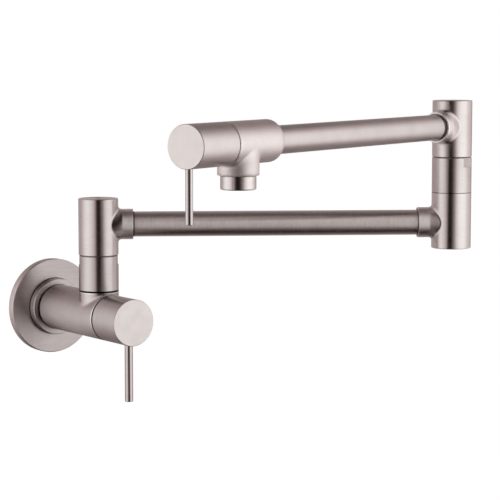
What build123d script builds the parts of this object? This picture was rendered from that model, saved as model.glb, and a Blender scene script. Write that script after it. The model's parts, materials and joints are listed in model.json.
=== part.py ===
from build123d import *
from dataclasses import dataclass
import math
import os

# A wall mounted pot filler: a wall valve, two swivelling arms and an outlet valve over a short spout.
# Millimetres, +Z up. The wall is the plane y = 0 and the room lies towards -Y. The origin is the centre
# of the flange's back face, on the inlet's axis. The arms lie as in the photograph.

# Layout
wall_to_post = 76.0  # wall to the lower swivel's axis
inner_arm_reach = 276.5  # lower swivel axis to upper swivel axis
outer_arm_reach = 294.5  # upper swivel axis to spout axis
wall_heading = -90.0  # the wall valve points out into the room, degrees from +X
inner_arm_heading = -32.1
outer_arm_heading = 199.8

# Clearances between pieces
thread_clearance = 0.05
running_clearance = 0.05  # radial, between a shaft and the bore that it turns in
socket_clearance = 0.02  # radial, a tube brazed into its socket
seal_clearance = 0.02  # between an O-ring at rest and a wall that it presses on
axial_play = 0.1
seating_play = 0.2  # room past the end of a piece that is seated elsewhere
cut_overrun = 1.0  # how far a cutting wedge reaches past what it cuts
station_match = 1e-6  # edges nearer than this to a station lie at it

# Wall flange, its gasket and its O-ring
flange_radius = 38.0
flange_depth = 6.5
flange_wall = 2.0
flange_rim = 2.0
flange_rounding = 0.8
collar_radius = 22.4
collar_reach = 13.2  # wall to the collar's front face
collar_rounding = 0.6
collar_clearance = 0.25  # radial, round the valve body
collar_seal_station = 9.6
collar_seal_depth = 1.6
gasket_width = 3.4

# Inlet nipple, a 1/2 inch male thread at both ends
inlet_thread_radius = 10.48
inlet_bore_radius = 7.0
inlet_thread_length = 20.0  # full thread behind the wall plane, from just in front of it
inlet_thread_lead = 1.0  # the thread starts this far in front of the wall plane
inlet_end_chamfer = 1.0
inlet_relief_radius = 9.6
inlet_socket_depth = 12.0

# Valve bodies
barrel_radius = 18.0  # wall valve
barrel_back = 6.0  # wall to the barrel's back end, inside the collar
outlet_barrel_radius = 14.5
front_margin = 2.2  # post radius to the front face of both valve bodies
stub_rise = 2.0  # barrel's top to the sleeve's seat
stub_blend = 1.2
riser_radius = 8.0
feed_radius = 7.0
feed_length = 2.6  # outlet body, tube end to the seat's web
seat_depth = 14.0  # upright axis to the cartridge's seat
seat_web = 3.0
body_edge = 0.4

# Posts, sleeves and swivels
post_radius = 15.5
tee_open_length = 23.6  # branch axis to the end that joins a sleeve
tee_closed_length = 20.2
tee_cap = 6.0
tee_cap_rounding = 0.7
tee_bore_radius = 9.0
joint_chamfer = 0.4
tight_joint_chamfer = 0.2
sleeve_length = 27.4
sleeve_bearing_length = 10.4
wrench_flat_height = 7.3
wrench_flat_depth = 0.9
lower_flat_heading = -35.9
upper_flat_heading = 284.1
neck_radius = 12.5  # threaded neck that a sleeve screws on
neck_height = 10.0
spigot_radius = 9.5
spigot_bore_radius = 6.5
spigot_grip = 12.6  # length screwed into the tee
spigot_tail = 1.5  # length below the snap ring
swivel_slot = 0.6  # sleeve to tee, held open by the thrust washer
thrust_washer_radius = 14.9
swivel_seal_depth = 1.4
swivel_seal_inset = 2.6  # bearing's end to its O-ring
slip_washer_thickness = 1.4
slip_washer_clearance = 0.3
snap_ring_thickness = 1.2
snap_ring_height = 1.7  # radial, proud of the spigot
snap_groove_depth = 1.0
snap_ring_opening = 50.0  # degrees

# Arm tubes and the branches that hold them
tube_radius = 9.8
tube_wall = 1.2
branch_radius = 11.85
branch_length = 27.0
branch_blend = 2.5
branch_rounding = 0.5
socket_depth = 14.0
socket_mouth_radius = 10.3
socket_mouth_depth = 1.5
tube_seal_depth = 1.1
tube_seal_inset = 2.2  # tube end to its O-ring

# Ceramic cartridge, the same in both valves, measured along the valve's axis
cartridge_thread_radius = 8.33
cartridge_thread_length = 11.7
cartridge_nose_radius = 6.9
cartridge_nose_bore = 6.1
disc_radius = 6.0
disc_thickness = 2.5
disc_film = 0.05  # water film between the lapped discs
disc_port_radius = 1.6
disc_port_offset = 3.6
seat_seal_bore = 4.2
seat_seal_thickness = 2.0
seat_seal_proud = 0.8
window_width = 6.0
window_height = 4.2
driver_length = 5.7
driver_width = 3.0
driver_reach = 5.6  # half the blade's span
tongue_width = 1.9
tongue_depth = 1.1
tongue_clearance = 0.05
hexagon_flats = 19.0
hexagon_height = 6.0
cartridge_washer_radius = 10.0
cartridge_washer_thickness = 1.0
gland_radius = 6.5
gland_height = 4.0
shaft_radius = 4.5  # inside the housing
spindle_radius = 4.0  # outside it
shaft_seal_depth = 1.0
shaft_seal_stations = (8.0, 12.5)
stop_thickness = 1.6
stop_hub_radius = 5.0
stop_clearance = 0.3
stop_lug_angle = 40.0  # degrees
stop_lug_gap = 4.0  # degrees left at each end of the quarter turn
quarter_turn = 90.0
clip_thickness = 0.8
clip_groove_depth = 0.5
clip_height = 1.6
clip_opening = 60.0

# Handles
knob_gap = 0.4  # valve body to knob
knob_edge = 0.4
knob_room = 0.6  # radial, round the hexagon
hub_clearance = 1.0  # clip to hub
insert_radius = 6.5
lever_end_chamfer = 0.3
lever_seat_depth = 1.6
spindle_flat = 0.8
wall_knob_length = 32.0
wall_lever_radius = 3.2
wall_lever_root = 2.5
wall_lever_setback = 7.3  # knob's front face to the lever's axis
wall_lever_drop = 61.5  # valve axis to the lever's free end
outlet_knob_length = 40.4
outlet_lever_radius = 2.5
outlet_lever_root = 2.0
outlet_lever_setback = 3.6
outlet_lever_drop = 50.0

# Spout and aerator, measured down from the outer arm's axis
spout_radius = 14.0
spout_drop = 21.4
spout_rounding = 0.9
aerator_radius = 12.0
aerator_drop = 30.8
aerator_rounding = 1.2
aerator_thread_length = 8.0
aerator_wall = 1.6
aerator_lip = 1.0
aerator_lip_height = 1.4
aerator_seal_thickness = 1.5
aerator_seal_wall = 3.0
insert_wall = 1.1
insert_grid_height = 2.0
insert_hole_radius = 1.1
insert_hole_pitch = 2.7
screen_thickness = 0.6
screen_hole_radius = 0.75
screen_hole_pitch = 2.1

# Derived places
tube_bore_radius = tube_radius - tube_wall
socket_radius = tube_radius + socket_clearance
socket_floor = branch_length - socket_depth
bearing_radius = spigot_radius + running_clearance
sleeve_bore_radius = neck_radius + thread_clearance
sleeve_shoulder = sleeve_length - sleeve_bearing_length
seat_station = -seat_depth
front_station = post_radius + front_margin
chamber_radius = cartridge_thread_radius + thread_clearance
outlet_back = seat_depth + seat_web + feed_length + socket_depth
outlet_tube_end = outlet_back - socket_depth
stub_height = barrel_radius + stub_rise
inner_arm_height = stub_height + sleeve_length + swivel_slot + tee_open_length
upper_sleeve_foot = inner_arm_height + tee_open_length
outer_arm_height = upper_sleeve_foot + sleeve_length + swivel_slot + tee_open_length

fixed_disc_back = seat_station + seat_seal_thickness
turning_disc_back = fixed_disc_back + disc_thickness + disc_film
turning_disc_front = turning_disc_back + disc_thickness
driver_front = turning_disc_front + driver_length
gland_front = front_station + hexagon_height + gland_height
stop_back = gland_front + axial_play
stop_front = stop_back + stop_thickness
clip_front = stop_front + clip_thickness
knob_back = front_station + knob_gap
hub_back = clip_front + hub_clearance
cavity_radius = hexagon_flats / math.sqrt(3) + knob_room

lower_post = (0.0, -wall_to_post)


def beyond(point, heading, distance):
    """The point that lies a distance away along a heading, seen from above."""
    angle = math.radians(heading)
    return (point[0] + distance * math.cos(angle), point[1] + distance * math.sin(angle))


upper_post = beyond(lower_post, inner_arm_heading, inner_arm_reach)
spout = beyond(upper_post, outer_arm_heading, outer_arm_reach)

# Turned pieces are built about the local Z axis and then stood up, laid along a heading or hung.
# On a laid piece the local X axis points down.
UP = Rot(0, -90, 0)
DOWN = Rot(0, 90, 0)
UPSIDE_DOWN = Rot(180, 0, 0)


def upright(point, height, heading=0.0):
    return Pos(point[0], point[1], height) * Rot(0, 0, heading)


def lying(point, height, heading):
    return upright(point, height, heading) * DOWN


def hanging(point, height):
    return upright(point, height) * UPSIDE_DOWN


WALL = lying((0.0, 0.0), 0.0, wall_heading)
WALL_VALVE = lying(lower_post, 0.0, wall_heading)
LOWER_SWIVEL = upright(lower_post, stub_height)
INNER_TEE = upright(lower_post, inner_arm_height, inner_arm_heading)
INNER_ARM = lying(lower_post, inner_arm_height, inner_arm_heading)
OUTER_TEE = upright(upper_post, inner_arm_height, inner_arm_heading + 180) * UPSIDE_DOWN
UPPER_SWIVEL = upright(upper_post, upper_sleeve_foot)
OUTLET_ARM_TEE = upright(upper_post, outer_arm_height, outer_arm_heading)
OUTER_ARM = lying(upper_post, outer_arm_height, outer_arm_heading)
OUTLET_VALVE = lying(spout, outer_arm_height, outer_arm_heading)
NOZZLE = hanging(spout, outer_arm_height)


@dataclass
class Handle:
    """The sizes in which the two handles differ. Each knob is as thick as its valve body."""

    knob_radius: float
    knob_length: float
    lever_radius: float
    lever_root: float
    lever_setback: float
    lever_drop: float

    @property
    def front(self):
        return knob_back + self.knob_length

    @property
    def lever_station(self):
        return self.front - self.lever_setback

    @property
    def spindle_end(self):
        return self.lever_station + self.lever_root + seating_play


wall_handle = Handle(
    barrel_radius, wall_knob_length, wall_lever_radius,
    wall_lever_root, wall_lever_setback, wall_lever_drop,
)
outlet_handle = Handle(
    outlet_barrel_radius, outlet_knob_length, outlet_lever_radius,
    outlet_lever_root, outlet_lever_setback, outlet_lever_drop,
)


def rod(radius, start, end):
    """A cylinder about the local Z axis between two stations."""
    return Pos(0, 0, start) * Cylinder(radius, end - start, align=(Align.CENTER, Align.CENTER, Align.MIN))


def ring(outer, inner, start, end):
    return rod(outer, start, end) - rod(inner, start, end)


def bar(width, depth, start, end):
    """A rectangular bar about the local Z axis between two stations."""
    return Pos(0, 0, start) * Box(width, depth, end - start, align=(Align.CENTER, Align.CENTER, Align.MIN))


def flat_cut(radius, depth, start, end):
    """What comes off a round bar on its local +X side to leave a flat that lies a depth below its surface."""
    return Pos(radius - depth, 0, start) * Box(
        radius, 2 * radius, end - start, align=(Align.MIN, Align.CENTER, Align.MIN)
    )


def wedge(first_angle, last_angle, radius, start, end):
    """A pie slice of under a half circle that reaches past the radius."""
    reach = (radius + cut_overrun) / math.cos(math.radians((last_angle - first_angle) / 4))
    angles = (first_angle, (first_angle + last_angle) / 2, last_angle)
    rim = [(reach * math.cos(math.radians(a)), reach * math.sin(math.radians(a))) for a in angles]
    outline = make_face(Polyline((0, 0), *rim, close=True))
    return Pos(0, 0, start) * extrude(outline, end - start)


def rounded_end(solid, station, radius):
    """Rounds the round edges that lie at one station."""
    return fillet(edges_at(solid, station), radius)


def bevelled_end(solid, station, size):
    return chamfer(edges_at(solid, station), size)


def edges_at(solid, station):
    circles = solid.edges().filter_by(GeomType.CIRCLE)
    return [edge for edge in circles if abs(edge.center().Z - station) < station_match]


def o_ring(inner, outer, station):
    """A ring of round section between two radii."""
    return Pos(0, 0, station) * Torus((inner + outer) / 2, (outer - inner) / 2)


def seal_groove(inner, outer, station):
    """The room cut for an O-ring between two radii, a little wider than the ring."""
    half_width = (outer - inner) / 2 + seating_play
    return ring(outer, inner, station - half_width, station + half_width)


def perforation(hole_radius, pitch, limit, start, end):
    """Round holes on a triangular grid, as many as lie wholly inside the limit radius."""
    row_step = pitch * math.sqrt(3) / 2
    rows = int(limit / row_step) + 1
    columns = int(limit / pitch) + 1
    centres = [
        (pitch * (column + 0.5 * (row % 2)), row_step * row)
        for row in range(-rows, rows + 1)
        for column in range(-columns, columns + 1)
    ]
    inside = [(x, y) for x, y in centres if math.hypot(x, y) + hole_radius <= limit]
    return [Pos(x, y, 0) * rod(hole_radius, start, end) for x, y in inside]


# The wall side


def wall_flange():
    """Hollow escutcheon with a raised collar, which an O-ring holds on the valve body."""
    plate = rounded_end(rod(flange_radius, 0, flange_depth), flange_depth, flange_rounding)
    collar = rounded_end(rod(collar_radius, 0, collar_reach), collar_reach, collar_rounding)
    hollow = rod(flange_radius - flange_rim, 0, flange_depth - flange_wall)
    bore = rod(barrel_radius + collar_clearance, 0, collar_reach)
    groove = seal_groove(barrel_radius, barrel_radius + collar_seal_depth, collar_seal_station)
    return plate + collar - hollow - bore - groove


def wall_gasket():
    outer = flange_radius - flange_rim - seal_clearance
    return ring(outer, outer - gasket_width, 0, flange_depth - flange_wall)


def flange_o_ring():
    inner = barrel_radius + seal_clearance
    return o_ring(inner, barrel_radius + collar_seal_depth - seal_clearance, collar_seal_station)


def inlet_nipple():
    """Threaded at both ends, with a relief between them inside the flange."""
    back = inlet_thread_lead - inlet_thread_length - inlet_end_chamfer
    front = barrel_back + inlet_socket_depth - seating_play
    thread = bevelled_end(rod(inlet_thread_radius, back, front), back, inlet_end_chamfer)
    relief = ring(inlet_thread_radius, inlet_relief_radius, inlet_thread_lead, barrel_back)
    return thread - relief - rod(inlet_bore_radius, back, front)


def seat_and_chamber():
    """What both valve bodies have cut into them for the cartridge."""
    seat_hole = rod(seat_seal_bore, seat_station - seat_web, seat_station)
    chamber = rod(chamber_radius, seat_station, front_station)
    washer_recess = rod(
        cartridge_washer_radius + thread_clearance, front_station - cartridge_washer_thickness, front_station
    )
    return seat_hole + chamber + washer_recess


def valve_body():
    """Barrel with an upright stub, whose threaded neck takes the lower sleeve."""
    back = barrel_back - wall_to_post
    barrel = bevelled_end(rod(barrel_radius, back, front_station), front_station, body_edge)
    stub = bevelled_end(rod(post_radius, 0, stub_height), stub_height, joint_chamfer)
    body = barrel + UP * stub
    body = fillet(body.edges().filter_by(GeomType.BSPLINE), stub_blend)
    body += UP * rod(neck_radius, stub_height, stub_height + neck_height)
    body -= rod(inlet_thread_radius + thread_clearance, back, back + inlet_socket_depth)
    body -= rod(feed_radius, back, seat_station - seat_web)
    body -= UP * rod(riser_radius, 0, stub_height + neck_height)
    return body - seat_and_chamber()


# The cartridge


def cartridge_housing():
    """Headwork: nose with two side windows, thread, hexagon, gland and the fixed stop of the quarter turn."""
    nose_back = seat_station + seat_seal_proud
    housing = rod(cartridge_nose_radius, nose_back, front_station)
    housing += rod(cartridge_thread_radius, front_station - cartridge_thread_length, front_station)
    hexagon = extrude(RegularPolygon(hexagon_flats / 2, 6, major_radius=False), hexagon_height)
    housing += Pos(0, 0, front_station) * hexagon
    housing += rod(gland_radius, front_station + hexagon_height, gland_front)
    housing += ring(gland_radius, stop_hub_radius + stop_clearance, gland_front, stop_front)
    half_lug = stop_lug_angle / 2 + stop_lug_gap
    housing -= wedge(-half_lug, quarter_turn + half_lug, gland_radius, gland_front, stop_front)
    housing -= rod(cartridge_nose_bore, nose_back, driver_front + axial_play)
    housing -= rod(shaft_radius + running_clearance, driver_front, gland_front)
    window = bar(2 * chamber_radius, window_width, driver_front - window_height, driver_front)
    return housing - window


def seat_seal():
    return ring(disc_radius, seat_seal_bore, seat_station, fixed_disc_back)


def fixed_disc():
    """Its two ports lie to the sides."""
    disc = rod(disc_radius, fixed_disc_back, fixed_disc_back + disc_thickness)
    port = rod(disc_port_radius, fixed_disc_back, fixed_disc_back + disc_thickness)
    return disc - Pos(0, disc_port_offset, 0) * port - Pos(0, -disc_port_offset, 0) * port


def turning_disc():
    """Its two ports lie above and below while the valve is shut, beside the slot for the driver's tongue."""
    disc = rod(disc_radius, turning_disc_back, turning_disc_front)
    port = rod(disc_port_radius, turning_disc_back, turning_disc_front)
    disc -= Pos(disc_port_offset, 0, 0) * port
    disc -= Pos(-disc_port_offset, 0, 0) * port
    slot_width = tongue_width + 2 * tongue_clearance
    slot_floor = turning_disc_front - tongue_depth - tongue_clearance
    return disc - bar(slot_width, 2 * disc_radius, slot_floor, turning_disc_front)


def cartridge_washer():
    inner = chamber_radius + thread_clearance
    return ring(cartridge_washer_radius, inner, front_station - cartridge_washer_thickness, front_station)


def spindle(handle):
    """Tongue, driver blade, sealed shaft and the long outer end with a flat for the lever's root."""
    blade = bar(driver_width, 2 * driver_reach, turning_disc_front, driver_front)
    tongue = bar(tongue_width, 2 * driver_reach, turning_disc_front - tongue_depth, turning_disc_front)
    shaft = rod(shaft_radius, turning_disc_front, gland_front)
    shaft &= bar(driver_width, 2 * shaft_radius, turning_disc_front, driver_front) + rod(
        shaft_radius, driver_front, gland_front
    )
    body = blade + tongue + shaft + rod(spindle_radius, gland_front, handle.spindle_end)
    for station in shaft_seal_stations:
        body -= seal_groove(shaft_radius - shaft_seal_depth, shaft_radius, station)
    body -= ring(spindle_radius, spindle_radius - clip_groove_depth, stop_front, clip_front)
    flat_start = handle.lever_station - handle.lever_root - seating_play
    return body - flat_cut(spindle_radius, spindle_flat, flat_start, handle.spindle_end)


def spindle_o_rings():
    inner = shaft_radius - shaft_seal_depth
    rings = [o_ring(inner + seal_clearance, shaft_radius, station) for station in shaft_seal_stations]
    return rings[0] + rings[1]


def stop_washer():
    """Ring on the spindle whose lug meets the gland's raised sector at each end of the quarter turn."""
    washer = rod(stop_hub_radius, stop_back, stop_front)
    lug = rod(gland_radius, stop_back, stop_front)
    lug &= wedge(-stop_lug_angle / 2, stop_lug_angle / 2, gland_radius, stop_back, stop_front)
    return washer + lug - rod(spindle_radius + seal_clearance, stop_back, stop_front)


def split_ring(inner, outer, start, end, opening):
    """A snap ring, open towards the local -X side."""
    closed = ring(outer, inner, start, end)
    return closed - wedge(180 - opening / 2, 180 + opening / 2, outer, start, end)


def spindle_clip():
    inner = spindle_radius - clip_groove_depth + seal_clearance
    return split_ring(inner, spindle_radius + clip_height, stop_front, clip_front, clip_opening)


# The handles


def lever_holes(handle):
    """The hole for the lever's root and the shallow seat for its full diameter."""
    root = rod(handle.lever_root + thread_clearance, 0, handle.knob_radius)
    seat = rod(
        handle.lever_radius + thread_clearance, handle.knob_radius - lever_seat_depth, handle.knob_radius
    )
    return Pos(0, 0, handle.lever_station) * DOWN * (root + seat)


def knob(handle):
    """Shell with a hub: the cavity clears the hexagon, the hub holds the splined insert."""
    shell = rod(handle.knob_radius, knob_back, handle.front)
    shell = bevelled_end(bevelled_end(shell, knob_back, knob_edge), handle.front, knob_edge)
    shell -= rod(cavity_radius, knob_back, hub_back)
    shell -= rod(insert_radius + socket_clearance, hub_back, handle.spindle_end + seating_play)
    return shell - lever_holes(handle)


def spline_insert(handle):
    sleeve = ring(insert_radius, spindle_radius + socket_clearance, hub_back, handle.spindle_end)
    return sleeve - lever_holes(handle)


def lever(handle):
    """Round bar whose threaded root goes through the knob and bears on the spindle's flat."""
    shoulder = handle.knob_radius - lever_seat_depth
    grip = bevelled_end(
        rod(handle.lever_radius, shoulder, handle.lever_drop), handle.lever_drop, lever_end_chamfer
    )
    root = rod(handle.lever_root, spindle_radius - spindle_flat, shoulder)
    return Pos(0, 0, handle.lever_station) * DOWN * (grip + root)


# The swivels, built up from the sleeve's foot


def swivel_sleeve(flat_heading, foot_chamfer):
    """Screws on a threaded neck; its bearing holds the spigot and its two flats take a wrench."""
    sleeve = bevelled_end(rod(post_radius, 0, sleeve_length), 0, foot_chamfer)
    sleeve = bevelled_end(sleeve, sleeve_length, joint_chamfer)
    sleeve -= rod(sleeve_bore_radius, 0, sleeve_shoulder)
    sleeve -= rod(bearing_radius, sleeve_shoulder, sleeve_length)
    flat_foot = sleeve_length - wrench_flat_height
    for side in (flat_heading, flat_heading + 180):
        sleeve -= Rot(0, 0, side) * flat_cut(post_radius, wrench_flat_depth, flat_foot, sleeve_length)
    return sleeve


def thrust_washer():
    top = sleeve_length + swivel_slot - running_clearance
    return ring(thrust_washer_radius, bearing_radius + axial_play, sleeve_length, top)


swivel_seal_stations = (sleeve_shoulder + swivel_seal_inset, sleeve_length - swivel_seal_inset)
slip_washer_top = sleeve_shoulder - axial_play
slip_washer_foot = slip_washer_top - slip_washer_thickness
snap_ring_foot = slip_washer_foot - snap_ring_thickness


def swivel_spigot():
    """Hollow journal: its top is screwed into the tee, its foot carries the snap ring."""
    foot = snap_ring_foot - spigot_tail
    top = sleeve_length + swivel_slot + spigot_grip
    spigot = bevelled_end(rod(spigot_radius, foot, top), foot, joint_chamfer)
    spigot -= rod(spigot_bore_radius, foot, top)
    for station in swivel_seal_stations:
        spigot -= seal_groove(spigot_radius - swivel_seal_depth, spigot_radius, station)
    return spigot - ring(spigot_radius, spigot_radius - snap_groove_depth, snap_ring_foot, slip_washer_foot)


def swivel_o_rings():
    inner = spigot_radius - swivel_seal_depth + seal_clearance
    rings = [o_ring(inner, spigot_radius, station) for station in swivel_seal_stations]
    return rings[0] + rings[1]


def slip_washer():
    outer = sleeve_bore_radius - slip_washer_clearance
    return ring(outer, spigot_radius + socket_clearance, slip_washer_foot, slip_washer_top)


def snap_ring():
    inner = spigot_radius - snap_groove_depth + socket_clearance
    outer = spigot_radius + snap_ring_height
    return split_ring(inner, outer, snap_ring_foot, slip_washer_foot, snap_ring_opening)


# Tees and tubes


def tube_socket(mouth, floor):
    """Room for a tube's end, its O-ring and the shadow gap at the mouth. It runs from the mouth inwards."""
    inward = 1 if floor > mouth else -1
    start, end = sorted((mouth, floor))
    mouth_start, mouth_end = sorted((mouth, mouth + inward * socket_mouth_depth))
    seal_station = floor - inward * tube_seal_inset
    bore = rod(socket_radius, start, end) + rod(socket_mouth_radius, mouth_start, mouth_end)
    return bore + seal_groove(tube_radius, tube_radius + tube_seal_depth, seal_station)


def tee_blank(end_chamfer):
    """Post with one branch along the local X axis. The joining end points down, the closed end up."""
    post = bevelled_end(rod(post_radius, -tee_open_length, tee_closed_length), -tee_open_length, end_chamfer)
    post = rounded_end(post, tee_closed_length, tee_cap_rounding)
    branch = rounded_end(rod(branch_radius, 0, branch_length), branch_length, branch_rounding)
    tee = Rot(0, 0, 180) * post + DOWN * branch
    tee = fillet(tee.edges().filter_by(GeomType.BSPLINE), branch_blend)
    tee -= DOWN * rod(tube_bore_radius, 0, socket_floor)
    return tee - DOWN * tube_socket(branch_length, socket_floor)


def turning_tee():
    """The tee that a spigot is screwed into."""
    tee = tee_blank(joint_chamfer)
    tee -= rod(bearing_radius, -tee_open_length, -tee_open_length + spigot_grip + seating_play)
    return tee - rod(tee_bore_radius, -tee_open_length, tee_closed_length - tee_cap)


def necked_tee():
    """The tee with a threaded neck for the upper sleeve."""
    neck_end = -tee_open_length - neck_height
    tee = tee_blank(tight_joint_chamfer) + rod(neck_radius, neck_end, -tee_open_length)
    tee -= rod(riser_radius, neck_end, -tee_open_length)
    return tee - rod(riser_radius, -tee_open_length, tee_closed_length - tee_cap)


def arm_tube(start, end):
    return ring(tube_radius, tube_bore_radius, start, end)


def tube_seals(start, end):
    inner = tube_radius + seal_clearance
    outer = tube_radius + tube_seal_depth - seal_clearance
    stations = (start + tube_seal_inset, end - tube_seal_inset)
    rings = [o_ring(inner, outer, station) for station in stations]
    return rings[0] + rings[1]


inner_tube_ends = (socket_floor, inner_arm_reach - socket_floor)
outer_tube_ends = (socket_floor, outer_arm_reach - outlet_tube_end)


# The outlet


def outlet_body():
    """Barrel in line with the outer arm, with the spout below."""
    barrel = bevelled_end(rod(outlet_barrel_radius, -outlet_back, front_station), front_station, body_edge)
    barrel = rounded_end(barrel, -outlet_back, body_edge)
    neck = rounded_end(rod(spout_radius, 0, spout_drop), spout_drop, spout_rounding)
    thread_start = spout_drop - aerator_thread_length
    body = barrel + DOWN * neck
    body -= tube_socket(-outlet_back, -outlet_tube_end)
    body -= rod(feed_radius, -outlet_tube_end, seat_station - seat_web)
    body -= DOWN * rod(riser_radius, 0, thread_start)
    body -= DOWN * rod(aerator_radius + thread_clearance, thread_start, spout_drop)
    return body - seat_and_chamber()


aerator_seal_top = spout_drop - aerator_thread_length
aerator_top = aerator_seal_top + aerator_seal_thickness
aerator_bore_radius = aerator_radius - aerator_wall
insert_foot = aerator_drop - aerator_lip_height
insert_top = aerator_top + screen_thickness


def aerator_seal():
    return ring(aerator_radius, aerator_radius - aerator_seal_wall, aerator_seal_top, aerator_top)


def aerator_housing():
    housing = rounded_end(rod(aerator_radius, aerator_top, aerator_drop), aerator_drop, aerator_rounding)
    housing -= rod(aerator_bore_radius, aerator_top, insert_foot)
    return housing - rod(aerator_bore_radius - aerator_lip, insert_foot, aerator_drop)


def aerator_insert():
    """Cup that stands on the housing's lip; its floor is the grid that straightens the stream."""
    outer = aerator_bore_radius - thread_clearance
    inner = outer - insert_wall
    cup = rod(outer, insert_top, insert_foot) - rod(inner, insert_top, insert_foot - insert_grid_height)
    limit = aerator_bore_radius - aerator_lip - insert_wall / 2
    holes = perforation(
        insert_hole_radius, insert_hole_pitch, limit, insert_foot - insert_grid_height, insert_foot
    )
    return cup - holes


def aerator_screen():
    """Fine perforated disc on top of the insert, under the seal."""
    outer = aerator_bore_radius - thread_clearance
    holes = perforation(
        screen_hole_radius, screen_hole_pitch, outer - insert_wall, aerator_top, insert_top
    )
    return rod(outer, aerator_top, insert_top) - holes


pieces = {
    "wall_flange": WALL * wall_flange(),
    "wall_gasket": WALL * wall_gasket(),
    "flange_o_ring": WALL * flange_o_ring(),
    "inlet_nipple": WALL * inlet_nipple(),
    "valve_body": WALL_VALVE * valve_body(),
    "lower_swivel_sleeve": LOWER_SWIVEL * swivel_sleeve(lower_flat_heading, joint_chamfer),
    "upper_swivel_sleeve": UPPER_SWIVEL * swivel_sleeve(upper_flat_heading, tight_joint_chamfer),
    "inner_tee": INNER_TEE * turning_tee(),
    "inner_arm_tube": INNER_ARM * arm_tube(*inner_tube_ends),
    "inner_tube_seals": INNER_ARM * tube_seals(*inner_tube_ends),
    "outer_tee": OUTER_TEE * necked_tee(),
    "outlet_arm_tee": OUTLET_ARM_TEE * turning_tee(),
    "outer_arm_tube": OUTER_ARM * arm_tube(*outer_tube_ends),
    "outer_tube_seals": OUTER_ARM * tube_seals(*outer_tube_ends),
    "outlet_body": OUTLET_VALVE * outlet_body(),
    "aerator_seal": NOZZLE * aerator_seal(),
    "aerator_housing": NOZZLE * aerator_housing(),
    "aerator_insert": NOZZLE * aerator_insert(),
    "aerator_screen": NOZZLE * aerator_screen(),
}

for level, place in (("lower", LOWER_SWIVEL), ("upper", UPPER_SWIVEL)):
    pieces[f"{level}_thrust_washer"] = place * thrust_washer()
    pieces[f"{level}_swivel_spigot"] = place * swivel_spigot()
    pieces[f"{level}_swivel_o_rings"] = place * swivel_o_rings()
    pieces[f"{level}_slip_washer"] = place * slip_washer()
    pieces[f"{level}_snap_ring"] = place * snap_ring()

for valve, place, handle in (
    ("wall", WALL_VALVE, wall_handle),
    ("outlet", OUTLET_VALVE, outlet_handle),
):
    pieces[f"{valve}_cartridge_housing"] = place * cartridge_housing()
    pieces[f"{valve}_seat_seal"] = place * seat_seal()
    pieces[f"{valve}_fixed_disc"] = place * fixed_disc()
    pieces[f"{valve}_cartridge_washer"] = place * cartridge_washer()
    pieces[f"{valve}_turning_disc"] = place * turning_disc()
    pieces[f"{valve}_spindle"] = place * spindle(handle)
    pieces[f"{valve}_spindle_o_rings"] = place * spindle_o_rings()
    pieces[f"{valve}_stop_washer"] = place * stop_washer()
    pieces[f"{valve}_spindle_clip"] = place * spindle_clip()
    pieces[f"{valve}_knob"] = place * knob(handle)
    pieces[f"{valve}_spline_insert"] = place * spline_insert(handle)
    pieces[f"{valve}_lever"] = place * lever(handle)

os.makedirs("parts", exist_ok=True)
for name, piece in pieces.items():
    export_step(piece, f"parts/{name}.step")
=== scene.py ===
# %% [markdown]
# # A wall mounted pot filler in brushed steel
#
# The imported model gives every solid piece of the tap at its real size, in metres. This lesson dresses it:
# it sets the photograph's camera, builds the studio, brushes the metal and cuts the fine forms that a tool
# leaves, such as threads and grooves. Nothing here moves or resizes a piece.

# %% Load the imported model
import json
import math
from collections import namedtuple

import bmesh
import bpy
from mathutils import Matrix, Vector


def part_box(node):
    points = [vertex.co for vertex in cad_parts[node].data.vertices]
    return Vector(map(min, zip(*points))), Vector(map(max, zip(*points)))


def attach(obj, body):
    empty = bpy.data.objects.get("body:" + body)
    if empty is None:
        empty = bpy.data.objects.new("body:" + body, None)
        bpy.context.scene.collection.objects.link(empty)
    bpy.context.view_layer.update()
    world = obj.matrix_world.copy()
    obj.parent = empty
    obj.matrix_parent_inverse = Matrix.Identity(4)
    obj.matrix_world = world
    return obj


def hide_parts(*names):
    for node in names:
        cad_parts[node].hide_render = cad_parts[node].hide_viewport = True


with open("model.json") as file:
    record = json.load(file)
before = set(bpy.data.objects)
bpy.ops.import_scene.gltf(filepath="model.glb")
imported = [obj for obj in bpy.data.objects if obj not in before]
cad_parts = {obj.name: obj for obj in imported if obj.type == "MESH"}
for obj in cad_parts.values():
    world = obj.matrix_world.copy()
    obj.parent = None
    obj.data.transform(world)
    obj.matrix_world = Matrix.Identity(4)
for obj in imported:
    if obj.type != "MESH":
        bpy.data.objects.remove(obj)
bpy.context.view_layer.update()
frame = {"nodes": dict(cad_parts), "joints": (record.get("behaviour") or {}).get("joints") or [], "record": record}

# %% [markdown]
# ## The axes that the finishes follow
#
# A lathe or an abrasive belt leaves its lines about an axis, so every finish needs the axis of its piece.
# The axes could be typed in, but the joints already hold them: the posts stand upright on the two swivels,
# the first valve points out of the wall, and each arm runs from post to post. A `Line` is such an axis: a
# point on it and its direction. A station is a distance along it from that point.

# %% Axes
UP = Vector((0, 0, 1))
ALONG_THE_WALL = Vector((1, 0, 0))
joints = {joint["name"]: joint for joint in frame["joints"]}


class Line:
    """An axis that pieces were turned about."""

    def __init__(self, point, way):
        self.point, self.way = Vector(point), Vector(way).normalized()


def joint_line(name):
    return Line(joints[name]["pos_m"], joints[name]["axis"])


def height_of(node):
    low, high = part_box(node)
    return (low.z + high.z) / 2


def at_height(line, height):
    return Vector((line.point.x, line.point.y, height))


wall_line = joint_line("wall_handle_turn")
lower_line = joint_line("lower_swivel")
upper_line = joint_line("upper_swivel")
outlet_line = joint_line("outlet_handle_turn")
inner_height, outer_height = height_of("inner_arm_tube"), outlet_line.point.z
inner_way = (upper_line.point - lower_line.point).xy.to_3d().normalized()

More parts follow.
